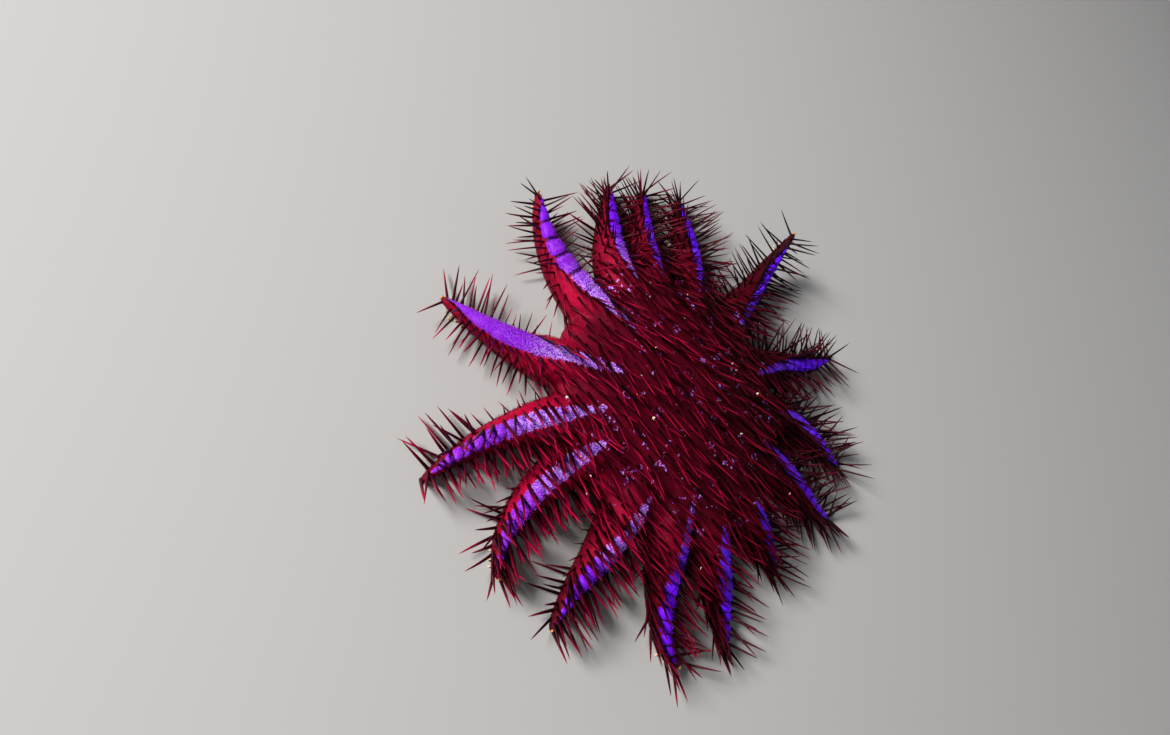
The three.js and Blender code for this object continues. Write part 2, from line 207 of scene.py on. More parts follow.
def ring(radius, turn, rise):
    """Points round the Z axis, at those angles; a radius and a rise for all or for each."""
    return np.stack([radius * np.cos(turn), radius * np.sin(turn), rise + 0 * turn], 1)


def lofted(rings):
    """Vertices and faces of a closed skin over rings that run anticlockwise seen from the last."""
    count = len(rings[0])
    faces = []
    for r in range(len(rings) - 1):
        for k in range(count):
            n = (k + 1) % count
            faces.append((r * count + k, r * count + n, (r + 1) * count + n, (r + 1) * count + k))
    last = (len(rings) - 1) * count
    faces.append(tuple(reversed(range(count))))
    faces.append(tuple(last + k for k in range(count)))
    return np.concatenate(rings), faces


DOME_PROFILE = [
    (0.3, 0.5), (80, 0.5), (88.6, 6), (89.8, 14), (87, 19.8), (79, 25.6),
    (63, 31), (43, 35), (21.5, 37.4), (0.3, 38.1),
]


def dome_form():
    profile = rounded(DOME_PROFILE, 2)[:-2] * MM
    turn = np.linspace(0, 2 * math.pi, 180, endpoint=False)
    return lofted([ring(r, turn, z) + AXIS for r, z in profile])


def placed(name, data):
    """A new object with that data, in the scene."""
    made = bpy.data.objects.new(name, data)
    bpy.context.scene.collection.objects.link(made)
    return made


def mesh_object(name, points, faces):
    mesh = bpy.data.meshes.new(name)
    mesh.from_pydata([tuple(p) for p in points], [], faces)
    mesh.update()
    return placed(name, mesh)


def joined(forms):
    points, faces, start = [], [], 0
    for form_points, form_faces in forms:
        points.append(form_points)
        faces += [tuple(start + i for i in face) for face in form_faces]
        start += len(form_points)
    return np.concatenate(points), faces


def plain_copy(made, name):
    """The evaluated object as a plain mesh; the source and its modifiers are removed."""
    graph = bpy.context.evaluated_depsgraph_get()
    mesh = bpy.data.meshes.new_from_object(made.evaluated_get(graph), depsgraph=graph)
    while len(mesh.materials) > 1:
        mesh.materials.pop(index=0)
    made.modifiers.clear()
    bpy.data.objects.remove(made)
    mesh.name = name
    return placed(name, mesh)


def vectors_of(items, field):
    values = np.empty(len(items) * 3, np.float32)
    items.foreach_get(field, values)
    return values.reshape(-1, 3).astype(float)


def set_coordinates(mesh, co):
    mesh.vertices.foreach_set("co", co.astype(np.float32).ravel())
    mesh.update()


def store(mesh, **attributes):
    for name, values in attributes.items():
        kind, field = ("FLOAT_VECTOR", "vector") if values.ndim == 2 else ("FLOAT", "value")
        made = mesh.attributes.new(name, kind, "POINT")
        made.data.foreach_set(field, values.astype(np.float32).ravel())


SKIN_VOXEL = 1.42 * MM
SKIN_EASING = 7  # rounds of smoothing, which soften the crotches between the arms


def skin_blank():
    source = mesh_object("skin_source", *joined([dome_form(), *map(arm_form, ARMS)]))
    remesh = source.modifiers.new("blend", "REMESH")
    remesh.mode = "VOXEL"
    remesh.voxel_size = SKIN_VOXEL
    remesh.use_smooth_shade = True
    ease = source.modifiers.new("ease", "SMOOTH")
    ease.factor = 0.5
    ease.iterations = SKIN_EASING
    return plain_copy(source, "skin")


Places = namedtuple("Places", "arm s side ridge radius")
UNDER = 30 * MM  # added to the way from the ridge on the disc's underside, out of every band


def places_of(points):
    """For each point: its arm, place s along it, signed offset to the side, distance from the
    arm's ridge, and distance from the star's axis."""
    best = np.full(len(points), np.inf)
    arm_of = np.zeros(len(points), int)
    s_of = np.zeros(len(points))
    side_of = np.zeros(len(points))
    steps = np.linspace(-1.2, 1.04, 190)
    for index, arm in enumerate(ARMS):
        line, along = centreline(arm, steps)
        angle = np.arctan2(*(points - AXIS)[:, 1::-1].T) - arm.root
        near = np.abs((angle + math.pi) % (2 * math.pi) - math.pi) < math.radians(32)
        rows = np.flatnonzero(near)
        gap = points[rows, None, :2] - line[None, :, :2]
        closest = (gap**2).sum(2).argmin(1)
        step = gap[np.arange(len(rows)), closest]
        way = along[closest]
        side = step[:, 0] * way[:, 1] - step[:, 1] * way[:, 0]
        share = np.hypot(*step.T) / half_width(steps[closest])
        wins = share < best[rows]
        rows, closest, side, share = rows[wins], closest[wins], side[wins], share[wins]
        best[rows] = share
        arm_of[rows] = index
        s_of[rows] = steps[closest]
        side_of[rows] = side
    top = height(s_of) + np.array([lift(ARMS[a], s) for a, s in zip(arm_of, s_of)])
    radius = np.hypot(*(points - AXIS)[:, :2].T)
    drop = np.maximum(top - INSET - points[:, 2], 0) * smooth(-0.5, 0, s_of)
    below = UNDER * smooth(9 * MM, 5 * MM, points[:, 2]) * (s_of < 0)
    return Places(arm_of, s_of, side_of, np.hypot(side_of, drop + below), radius)


def of_arms(field, places):
    return np.array([getattr(arm, field) for arm in ARMS])[places.arm]


Band = namedtuple("Band", "inside share off half")


def band_of(places):
    """For each point: how far it is inside the violet band, its share of the way from the
    band's start to the tip, its signed distance from the band's middle line, and the band's
    half width there."""
    reach = of_arms("reach", places)
    start = (of_arms("band_start", places) - ROOT_RADIUS) / reach
    share = (places.s - start) / (1 - start)
    halves = of_arms("band_halves", places)
    steps = halves.shape[1] - 1
    cell = np.clip(np.floor(share * steps), 0, steps - 1).astype(int)
    rows = np.arange(len(share))
    within = np.clip(share * steps - cell, 0, 1)
    half = halves[rows, cell] * (1 - within) + halves[rows, cell + 1] * within
    beyond = np.maximum(-share, 0) * reach + np.maximum(share - 1, 0) * reach
    inner, outer = of_arms("band_asides", places).T
    aside = inner * smooth(-0.3, 0.0, share) + (outer - inner) * smooth(0.2, 0.7, share)
    off = np.copysign(places.ridge, places.side) - aside
    return Band(half - np.abs(off) - beyond, share, off, half)


def noise_at(points, size, seed=0.0):
    """Smooth noise in about -1..1 with features of that size."""
    shift = Vector((seed, 2 * seed, -seed))
    return np.array([noise.noise(Vector(p) / size + shift) for p in points])


CREASE_DEPTH = 1.0 * MM
CREASE_HALF_WIDTH = 0.8 * MM
CUSHION_RISE = 1.2 * MM  # how far the band swells between two creases
PLEAT_RISE = 0.22 * MM
PLEAT_LENGTH = 5.2 * MM
LUMP_RISE = 0.3 * MM
LUMP_SIZE = 9 * MM


def crease_phase(points, places):
    """A number that is whole on each crease across the band."""
    along = places.s * of_arms("reach", places)
    wobble = 0.9 * MM * noise_at(points, 13 * MM, 3.0)
    uneven = 1.8 * MM * np.sin(along / (14 * MM) + 2.1 * places.arm)
    slant = 0.45 * places.side * of_arms("laid_over", places)
    return (along + wobble + uneven + slant) / of_arms("cushion", places) + 0.37 * places.arm


def relief(points, places, band):
    """Height of the skin's own folds: band segments, pleats on the flanks and soft lumps."""
    along = places.s * of_arms("reach", places)
    wave = noise_at(points, LUMP_SIZE, 3.0)
    phase = crease_phase(points, places)
    cushion = of_arms("cushion", places)
    from_crease = np.abs(phase - np.round(phase)) * cushion
    on_band = smooth(-1.5 * MM, 1.0 * MM, band.inside) * smooth(0.3, 0.5, band.share)
    creases = -CREASE_DEPTH * np.exp(-((from_crease / CREASE_HALF_WIDTH) ** 2)) * on_band
    middle = 1 - (from_crease / (cushion / 2) - 1) ** 4
    segments = CUSHION_RISE * middle * smooth(-1.0 * MM, 3.5 * MM, band.inside) * on_band
    flank = smooth(2 * MM, 7 * MM, -band.inside) * smooth(-0.25, 0.1, places.s)
    fold_run = along + 0.35 * points[:, 2] + 2.0 * MM * noise_at(points, 14 * MM, 8.0)
    pleats = PLEAT_RISE * np.sin(2 * math.pi * fold_run / PLEAT_LENGTH) * flank
    lumps = LUMP_RISE * noise_at(points, LUMP_SIZE, 5.0) * smooth(3 * MM, 9 * MM, points[:, 2])
    return creases + segments + pleats * (0.6 + 0.4 * wave) + lumps


GROOVE_HALF_WIDTH = SECTION[0][0] * ARM_HALF_WIDTH
MOUTH_CLEARANCE = 0.6 * MM  # between the mouth's membrane and the skin above it


def hollows(points, up, places):
    """How far the disc's underside is raised, over the mouth and along the arms' grooves."""
    under = (up[:, 2] < -0.8) & (points[:, 2] < 2 * MM) & (places.s < 0.2)
    over_mouth = smooth(MOUTH_RADIUS + 1.2 * MM, MOUTH_RADIUS, places.radius)
    roof = (mouth_high.z + MOUTH_CLEARANCE) * over_mouth
    groove = GROOVE_DEPTH * np.maximum(1 - np.abs(places.side) / GROOVE_HALF_WIDTH, 0)
    groove *= smooth(0.0, -0.1, places.s)
    return np.maximum(roof, groove) * under


# The unwrap of the star's own shape, which places each spine's patch on the baked picture
STRIP_FOOT, STRIP_TOP = 0.44, 0.99
DISC_SPREAD = 0.2


def unwrap_of(points, places, facing_up):
    local = (points - AXIS)[:, :2] / ROOT_RADIUS
    middle = np.where(facing_up[:, None], [0.22, 0.21], [0.66, 0.21])
    on_disc = middle + DISC_SPREAD * local
    tall = height(places.s)
    level = points[:, 2] - lifts_of(places)
    turn = np.arctan2(places.side / half_width(places.s), level / tall - 0.45) / math.pi
    column = (places.arm + 0.5 + 0.46 * turn) / len(ARMS)
    row = STRIP_FOOT + (STRIP_TOP - STRIP_FOOT) * np.clip(places.s, 0, 1.04) / 1.04
    on_arm = np.stack([column, row], 1)
    flat = np.where((places.s > 0)[:, None], on_arm, on_disc)
    return np.concatenate([flat, np.zeros((len(flat), 1))], 1)


# Spines: roots are thrown on the skin at random and kept where no other root is too near
Spines = namedtuple("Spines", "root aim long thick bow")


def spread_roots(points, spacing, first):
    """Indices of the first points and of further ones not nearer than their own spacing."""
    cell = spacing[np.isfinite(spacing)].max()
    kept, grid = [], {}
    for i in first:
        kept.append(i)
        grid.setdefault(tuple((points[i] // cell).astype(int)), []).append(i)
    for i in random.permutation(np.flatnonzero(np.isfinite(spacing))):
        key = tuple((points[i] // cell).astype(int))
        near = [
            j
            for dx in (-1, 0, 1)
            for dy in (-1, 0, 1)
            for dz in (-1, 0, 1)
            for j in grid.get((key[0] + dx, key[1] + dy, key[2] + dz), ())
        ]
        if near and (np.linalg.norm(points[near] - points[i], axis=1) < spacing[i]).any():
            continue
        kept.append(i)
        grid.setdefault(key, []).append(i)
    return np.array(kept)


DISC_SPACING = 6.9 * MM
FLANK_SPACING = 4.5 * MM
ROW_SPACING = 4.8 * MM
ROW_ASIDE = 0.7 * MM  # from the edge of the band to the row of spines beside it
LOWEST_ROOT = 4.5 * MM


def rows_beside_bands(points, places, band, phase):
    """Indices of a row of roots along each edge of each band, one or more to each crease."""
    kept = []
    for index, arm in enumerate(ARMS):
        per_crease = max(round(arm.cushion / ROW_SPACING), 1)
        for side in (-1, 1):
            beside = np.abs(band.inside + ROW_ASIDE) < 1.6 * MM
            beside &= (places.arm == index) & (band.off * side > 0)
            beside &= (band.share > 0.06) & (band.share < 0.97)
            rows = np.flatnonzero(beside)
            turns = phase[rows] * per_crease
            for turn in np.unique(np.round(turns)):
                miss = np.abs(turns - turn) * arm.cushion / per_crease
                miss += np.abs(band.inside[rows] + ROW_ASIDE)
                best = miss.argmin()
                if miss[best] < 1.5 * MM:
                    kept.append(rows[best])
    return kept


def spine_spacing(points, up, places, band):
    on_arm = FLANK_SPACING * (1.25 - 0.4 * of_arms("laid_over", places))
    on_arm *= 1 - 0.18 * smooth(0.3, 0.7, places.s)
    spacing = np.where(places.s < 0.0, DISC_SPACING, on_arm)
    bare = (band.inside > -0.4 * MM) & (band.share > 0.04)
    low = (points[:, 2] < LOWEST_ROOT) | (up[:, 2] < -0.35)
    spacing *= 1 + 0.8 * bare_flank(up, places)
    spacing *= 1 - 0.2 * (np.isin(places.arm, SHAGGY) & (places.s > 0))
    return np.where(bare | low, np.inf, spacing)


LONG_ON_DISC = 43 * MM
LONG_ON_ARM = 27 * MM
LONGER = 5 * MM  # added to that where the spines lie over most
SPINE_RADIUS = 0.85 * MM
STOUT = 1.12 * MM  # the same on the arms whose spines lie over most
SPLAY = 0.55  # how far an arm's spines lean out to either side
SMOOTH_FLANKS = [0, 10, 11, 12, 13, 14]  # arms nearly bare on the inner half of one flank
SHAGGY = [7, 8, 9]  # arms with denser spines, which lean towards the tips
CLEAR = [0, 1, 2, 3, 4, 5, 7, 8, 9]  # arms whose bands few spines hide
CLEAR_SIDE = np.array([0.1, -0.7, 1])  # the side to which those bands show
ROOM = 1.2 * MM  # kept between the spines' tips and the box of the solids


def bright_side(points):
    """Painted light falloff: the star's colour is brightest on the side towards the key light, and
    darkens as painted shade to the other side and round the rim.
    """
    towards = (points - AXIS) @ np.array([-0.35, -0.93, 0])
    aside = np.abs((points - AXIS) @ np.array([0.93, -0.35, 0]))
    rim = 1 - 0.48 * smooth(45 * MM, 125 * MM, aside)
    return (0.12 + 0.88 * smooth(-110 * MM, 75 * MM, towards)) * rim


def alongs_of(places):
    return np.array([centreline(ARMS[a], s)[1][0] for a, s in zip(places.arm, places.s)])


def lifts_of(places):
    return np.array([lift(ARMS[a], s) for a, s in zip(places.arm, places.s)])


def bare_flank(up, places):
    """1 on the inner halves of the nearly bare flanks, and 0 elsewhere."""
    chosen = np.isin(places.arm, SMOOTH_FLANKS) & (places.s > -0.3)
    return chosen * smooth(0.15, -0.25, up @ LIE) * smooth(0.65, 0.4, places.s)


def spine_aims(up, places, jitter):
    """Spines stand off the flanks, lean towards the tips, and lie over the way of the disc's
    spines near the disc, on some arms, and where the skin faces that way."""
    along = alongs_of(places)
    across = np.stack([along[:, 1], -along[:, 0], np.zeros(len(along))], 1)
    splay = np.sign(places.side) * SPLAY * (1 - of_arms("laid_over", places)) * (places.s > 0)
    lean = 0.25 + 0.45 * np.isin(places.arm, SHAGGY)[:, None]
    own = unit(up + lean * along + across * splay[:, None] + np.array([0, 0, 0.1]))
    laid = 1 - smooth(-0.1, 0.6, places.s) * (1 - of_arms("laid_over", places))
    facing = smooth(-0.6, 0.3, up @ LIE)
    share = (laid * facing)[:, None]
    aim = unit(own * (1 - share) + LIE * share + 0.2 * jitter)
    clear = (aim * up).sum(1, keepdims=True)
    return unit(aim + up * np.maximum(0.22 - clear, 0))


def at_least(aim, rise):
    """The directions, turned up where they rise less than that."""
    rise = np.maximum(aim[:, 2], rise)
    level = unit(aim[:, :2]) * np.sqrt(1 - rise**2)[:, None]
    return np.concatenate([level, rise[:, None]], 1)


def parted(points, to_tip, long):
    """The spines' lengths, where most of those that would hide the bands of some arms from the
    clear side end before they do."""
    whole = random.random(len(points)) < 0.25
    for share in (1.0, 0.85, 0.7, 0.55, 0.4):
        there = points + to_tip * (long * share)[:, None]
        over = places_of(there)
        above = there[:, 2] - height(over.s) - lifts_of(over)
        behind = places_of(there - CLEAR_SIDE * np.maximum(above, 0)[:, None])
        band = band_of(behind)
        covers = (band.inside > 0.3 * MM) & (band.share > 0.02) & np.isin(behind.arm, CLEAR)
        long = long * np.where(covers & ~whole, share - 0.15, 1.0)
    return long


def spines_at(points, up, places):
    count = len(points)
    jitter = unit(random.normal(size=(count, 3)))
    aim = spine_aims(up, places, jitter)
    bare = bare_flank(up, places)
    rim = places.radius / ROOT_RADIUS
    on_arm = smooth(-0.12, 0.12, places.s)
    low = smooth(0.2, 0.6, (points[:, 2] - lifts_of(places)) / height(places.s))
    on_disc = LONG_ON_DISC * (1 - 0.2 * rim)
    on_arms = LONG_ON_ARM + LONGER * of_arms("laid_over", places)
    on_arms *= (1 - 0.17 * np.maximum(places.s, 0)) * (0.84 + 0.16 * low)
    on_arms *= 1 - 0.66 * bare
    long = on_disc * (1 - on_arm) + on_arms * on_arm
    long *= random.uniform(0.82, 1.14, count)
    bow = unit(np.cross(aim, jitter)) * random.uniform(0, 0.07, count)[:, None]
    aim = at_least(aim, (ROOM - points[:, 2]) / long - bow[:, 2])
    to_tip = aim + bow
    limit = np.where(to_tip > 0, np.array(cad_high) - ROOM, np.array(cad_low) + ROOM)
    limit[:, 2] = np.maximum(limit[:, 2], ROOM)
    with np.errstate(divide="ignore"):
        room = np.where(np.abs(to_tip) > 1e-6, (limit - points) / to_tip, np.inf)
    room[:, 2] = np.where(to_tip[:, 2] > 0, room[:, 2], np.inf)
    long = np.minimum(long, room.min(1))
    long = parted(points, to_tip, long)
    stout = on_arm * smooth(0.1, 0.75, of_arms("laid_over", places))
    thick = (SPINE_RADIUS + (STOUT - SPINE_RADIUS) * stout) * random.uniform(0.85, 1.15, count)
    thick *= 1 - 0.45 * bare
    return Spines(points, aim, long, thick, bow * long[:, None])


# Geometry Nodes
class Tree:
    """A node tree under construction: adds nodes, sets their inputs and links them."""

    def __init__(self, name, kind, sockets):
        self.tree = bpy.data.node_groups.new(name, kind)
        for label, socket, value in sockets:
            made = self.tree.interface.new_socket(label, in_out="INPUT", socket_type=socket)
            if value is not None:
                made.default_value = value
        self.start = self.tree.nodes.new("NodeGroupInput").outputs

    def output(self, label, socket, source):
        self.tree.interface.new_socket(label, in_out="OUTPUT", socket_type=socket)
        ends = [n for n in self.tree.nodes if n.bl_idname == "NodeGroupOutput"]
        end = ends[0] if ends else self.tree.nodes.new("NodeGroupOutput")
        self.tree.links.new(source, end.inputs[label])

    def add(self, kind, inputs=None, **settings):
        node = self.tree.nodes.new(kind)
        for key, value in settings.items():
            setattr(node, key, value)
        for key, value in (inputs or {}).items():
            if isinstance(value, bpy.types.NodeSocket):
                self.tree.links.new(value, node.inputs[key])
            else:
                node.inputs[key].default_value = value
        return node

    def math(self, operation, *values):
        return self.add("ShaderNodeMath", dict(enumerate(values)), operation=operation).outputs[0]

    def times(self, product, *factors):
        for factor in factors:
            product = self.math("MULTIPLY", product, factor)
        return product

    def attribute(self, name):
        return self.add("ShaderNodeAttribute", attribute_name=name).outputs["Fac"]

    def vector(self, operation, *values):
        node = self.add("ShaderNodeVectorMath", dict(enumerate(values)), operation=operation)
        return node.outputs[1 if operation in ("LENGTH", "DOT_PRODUCT", "DISTANCE") else 0]

    def scaled(self, vector, factor):
        node = self.add("ShaderNodeVectorMath", {0: vector, "Scale": factor}, operation="SCALE")
        return node.outputs[0]

    def noise(self, place, scale, detail):
        inputs = {"Vector": place, "Scale": scale, "Detail": detail}
        return self.add("ShaderNodeTexNoise", inputs).outputs[0]

    def ramp(self, value, low, high, start=0.0, end=1.0):
        """Goes smoothly from start to end as the value goes from low to high."""
        inputs = {0: value, 1: low, 2: high, 3: start, 4: end}
        return self.add("ShaderNodeMapRange", inputs, interpolation_type="SMOOTHSTEP").outputs[0]

    def mix(self, factor, one, other):
        return self.add("ShaderNodeMix", {0: factor, 6: one, 7: other}, data_type="RGBA").outputs[2]

    def stored(self, geometry, name, value, kind, domain="CORNER"):
        inputs = {"Geometry": geometry, "Name": name, "Value": value}
        settings = {"data_type": kind, "domain": domain}
        return self.add("GeometryNodeStoreNamedAttribute", inputs, **settings).outputs[0]

    def named(self, name, kind="FLOAT"):
        node = self.add("GeometryNodeInputNamedAttribute", {"Name": name}, data_type=kind)
        return node.outputs[0]


PATCH = 0.003  # each spine's width on the baked picture


def rod(t, profile):
    """A pointed rod of unit length and base radius along +Z, with its height and its place on
    the patch stored on it. profile is its radius along its length."""
    line = t.add("GeometryNodeCurvePrimitiveLine", {"End": (0, 0, 1)})
    steps = t.add("GeometryNodeResampleCurve", {"Curve": line.outputs[0], "Count": t.start["Steps"]})
    factor = t.add("GeometryNodeSplineParameter").outputs["Factor"]
    taper = t.add("ShaderNodeFloatCurve", {"Value": factor})
    curve = taper.mapping.curves[0]
    while len(curve.points) < len(profile):
        curve.points.new(0.5, 0.5)
    for point, (x, y) in zip(curve.points, profile):
        point.location = (x, y)
    taper.mapping.update()
    sides = {"Resolution": t.start["Sides"], "Radius": 1.0}
    circle = t.add("GeometryNodeCurvePrimitiveCircle", sides)
    skin = t.add(
        "GeometryNodeCurveToMesh",
        {
            "Curve": steps.outputs[0],
            "Profile Curve": circle.outputs[0],
            "Scale": taper.outputs[0],
            "Fill Caps": True,
        },
    )
    place = t.add("GeometryNodeInputPosition").outputs[0]
    height_of = t.add("ShaderNodeSeparateXYZ", {0: place}).outputs[2]
    marked = t.stored(skin.outputs[0], "along", height_of, "FLOAT", "POINT")
    flat = t.vector("MULTIPLY", place, (1, 1, 0))
    ring = t.vector("NORMALIZE", flat)
    inward = t.math("SUBTRACT", 1.0, t.math("MULTIPLY", height_of, 0.92))
    spread = t.scaled(ring, inward)
    facing = t.add("GeometryNodeInputNormal").outputs[0]
    under = t.math("LESS_THAN", t.add("ShaderNodeSeparateXYZ", {0: facing}).outputs[2], -0.9)
    foot = t.vector("ADD", t.scaled(spread, 0.05), (0.95, 0.95, 0))
    places = {"Switch": under, "False": spread, "True": foot}
    patch = t.add("GeometryNodeSwitch", places, input_type="VECTOR")
    return t.stored(marked, "patch", patch.outputs[0], "FLOAT_VECTOR")


def planted(t, points, aim, long, thick, bow, profile):
    """Instances of the rod on the points, made real, bowed, mapped and finished."""
    turn = t.add("FunctionNodeAlignRotationToVector", {"Vector": aim}, axis="Z").outputs[0]
    size = t.add("ShaderNodeCombineXYZ", {0: thick, 1: thick, 2: long}).outputs[0]
    grown = t.add(
        "GeometryNodeInstanceOnPoints",
        {"Points": points, "Instance": rod(t, profile), "Rotation": turn, "Scale": size},
    )
    real = t.add("GeometryNodeRealizeInstances", {0: grown.outputs[0]}).outputs[0]
    along = t.named("along")
    bend = t.scaled(bow, t.math("MULTIPLY", along, along))
    bent = t.add("GeometryNodeSetPosition", {"Geometry": real, "Offset": bend}).outputs[0]
    patch = t.scaled(t.named("patch", "FLOAT_VECTOR"), PATCH / 2)
    unwrapped = t.vector("ADD", t.named("unwrap", "FLOAT_VECTOR"), patch)
    mapped = t.stored(bent, "OFBake", unwrapped, "FLOAT2")
    rounded_off = t.add("GeometryNodeSetShadeSmooth", {"Geometry": mapped}).outputs[0]
    finish = {"Geometry": rounded_off, "Material": t.start["Finish"]}
    finished = t.add("GeometryNodeSetMaterial", finish).outputs[0]
    t.output("Geometry", "NodeSocketGeometry", finished)
    return t.tree


ROD_SOCKETS = [
    ("Geometry", "NodeSocketGeometry", None),
    ("Steps", "NodeSocketInt", 9),
    ("Sides", "NodeSocketInt", 8),
    ("Finish", "NodeSocketMaterial", None),
]


def standing_tree(name, profile):
    """Grows a rod on each vertex, as its attributes aim, long, thick and bow say."""
    t = Tree(name, "GeometryNodeTree", ROD_SOCKETS)
    points = t.add("GeometryNodeMeshToPoints", {"Mesh": t.start["Geometry"]}).outputs[0]
    aim, bow = t.named("aim", "FLOAT_VECTOR"), t.named("bow", "FLOAT_VECTOR")
    return planted(t, points, aim, t.named("long"), t.named("thick"), bow, profile)


def strewn_tree(name, density, profile):
    """Strews short rods over a skin as densely as one of its attributes says."""
    sockets = ROD_SOCKETS + [
        ("Most per Square Metre", "NodeSocketFloat", 1e5),
        ("Shortest", "NodeSocketFloat", 1 * MM),
        ("Longest", "NodeSocketFloat", 2 * MM),
        ("Thickness", "NodeSocketFloat", 0.4 * MM),
        ("Lie", "NodeSocketFloat", 0.5),
        ("Seed", "NodeSocketInt", 3),
    ]
    t = Tree(name, "GeometryNodeTree", sockets)
    wanted = t.math("MULTIPLY", t.named(density), t.start["Most per Square Metre"])
    strewn = t.add(
        "GeometryNodeDistributePointsOnFaces",
        {"Mesh": t.start["Geometry"], "Density": wanted, "Seed": t.start["Seed"]},
    )
    lie = t.scaled(t.named("lie", "FLOAT_VECTOR"), t.start["Lie"])
    aside = t.add(
        "FunctionNodeRandomValue",
        {"Min": (-0.35,) * 3, "Max": (0.35,) * 3, "Seed": t.start["Seed"]},
        data_type="FLOAT_VECTOR",
    ).outputs[0]
    leaning = t.vector("ADD", t.vector("ADD", strewn.outputs["Normal"], lie), aside)
    aim = t.vector("NORMALIZE", leaning)
    long = t.add(
        "FunctionNodeRandomValue",
        {2: t.start["Shortest"], 3: t.start["Longest"], "Seed": t.start["Seed"]},
        data_type="FLOAT",
    ).outputs[1]
    straight = (0, 0, 0)
    points = strewn.outputs["Points"]
    return planted(t, points, aim, long, t.start["Thickness"], straight, profile)


def grown(name, source, tree, **values):
    """Runs a tree on a source object and returns the result as a plain mesh object."""
    maker = source.modifiers.new("grow", "NODES")
    maker.node_group = tree
    items = tree.interface.items_tree
    ids = {item.name: item.identifier for item in items if item.in_out == "INPUT"}
    for label, value in values.items():
        maker[ids[label.replace("_", " ")]] = value
    return plain_copy(source, name)


ROOT_SUNK = 1.5 * MM  # how deep a spine's root is in the skin
TINTS = (0.25, 1.5)  # the darkest and the brightest spine, as shares of the spines' colour


def spine_source(name, spines, unwrap):
    """One vertex for each spine's root, with what its rod needs stored on it."""
    source = mesh_object(name + "_roots", spines.root - spines.aim * ROOT_SUNK, [])
    store(
        source.data,
        aim=spines.aim,
        long=spines.long + ROOT_SUNK,
        thick=spines.thick,
        bow=spines.bow,
        unwrap=unwrap,
        # random tint times the painted light falloff
        tint=random.uniform(*TINTS, len(spines.root)) * bright_side(spines.root),
    )
    return source


# Materials
def principled(name, **values):
    material = bpy.data.materials.new(name)
    material.use_nodes = True
    shader = material.node_tree.nodes["Principled BSDF"]
    for label, value in values.items():
        shader.inputs[label.replace("_", " ")].default_value = value
    return material, material.node_tree, shader


CRIMSON = (0.42, 0.002, 0.035, 1)
# dark crimson of the skin's random mottling, also used as painted shade on the disc under its spines
SHADE_AND_MOTTLE_CRIMSON = (0.04, 0.0003, 0.006, 1)
VIOLET = (0.22, 0.006, 0.6, 1)
# the band's violet on the painted shade side, away from the key light
SHADE_SIDE_VIOLET = (0.11, 0.004, 0.9, 1)
LAVENDER = (0.64, 0.37, 1.0, 1)
# painted shade in the band's creases
CREASE_SHADE = (0.02, 0.0006, 0.05, 1)


def band_mask(t, place, share, from_middle, outer):
    """1 on the violet band, whose edge is ragged and is rounded in at each crease."""
    ragged = t.math("SUBTRACT", t.noise(place, 800.0, 2.0), 0.5)
    ragged = t.times(ragged, 6.0, t.ramp(share, 0.9, 0.3, 0.35, 1.0))
    rounding = t.math("POWER", t.times(from_middle, 2.0), 5.0)
    rounding = t.times(rounding, t.attribute("rounding"), outer, t.start["Rounding"])
    edge = t.math("ADD", t.attribute("band"), ragged)
    return t.ramp(t.math("SUBTRACT", edge, rounding), -0.2, 0.3)


def band_colour(t, share, bright, from_middle, outer, coarse, papulae):
    """Violet, bluer as painted shade away from the key light, paler and grainier on the band's inner
    half where the painted light falls, and dark with painted shade in its creases.
    """
    pale = t.times(
        t.ramp(coarse, 0.3, 0.55, 0.6, 1.0),
        papulae,
        t.ramp(share, 0.62, 0.38, 0.1, 1.0),
        # pale only on the lit side: a painted highlight
        t.ramp(bright, 0.45, 0.75, 0.1, 1.0),
    )
    # bluer violet where the painted light falloff is low: painted shade
    violet = t.mix(t.ramp(bright, 0.25, 0.75), t.start["Shade Side Violet"], t.start["Violet"])
    # painted shade darkens the band in its creases
    crease = t.times(t.ramp(from_middle, 0.36, 0.47), outer)
    return t.mix(crease, t.mix(pale, violet, t.start["Lavender"]), t.start["Crease Shade"])


def body_colour(t, place, share, bright, coarse, papulae):
    """Crimson, darker low down, darker on the disc as painted shade under its spines, and scaled by
    the painted light falloff away from the key light, with violet specks.
    """
    level = t.add("ShaderNodeSeparateXYZ", {0: place}).outputs[2]
    vivid = t.times(
        t.ramp(coarse, 0.3, 0.65, 0.7, 1.0),
        t.ramp(level, 3 * MM, 19 * MM, 0.1, 1.0),
        # painted shade on the disc's skin, under its spines
        t.ramp(t.attribute("on_arm"), 0.0, 1.0, 0.2, 1.0),
    )
    # scaled by the painted light falloff
    body = t.scaled(t.mix(vivid, t.start["Dark Crimson"], t.start["Crimson"]), bright)
    scatter = t.times(t.noise(place, 420.0, 2.5), t.ramp(coarse, 0.5, 0.62))
    specks = t.math("GREATER_THAN", scatter, t.start["Speckle"])
    specks = t.times(specks, t.ramp(share, 0.3, 0.0), t.ramp(level, 6 * MM, 9 * MM))
    return t.mix(specks, body, t.mix(papulae, t.start["Violet"], t.start["Lavender"]))


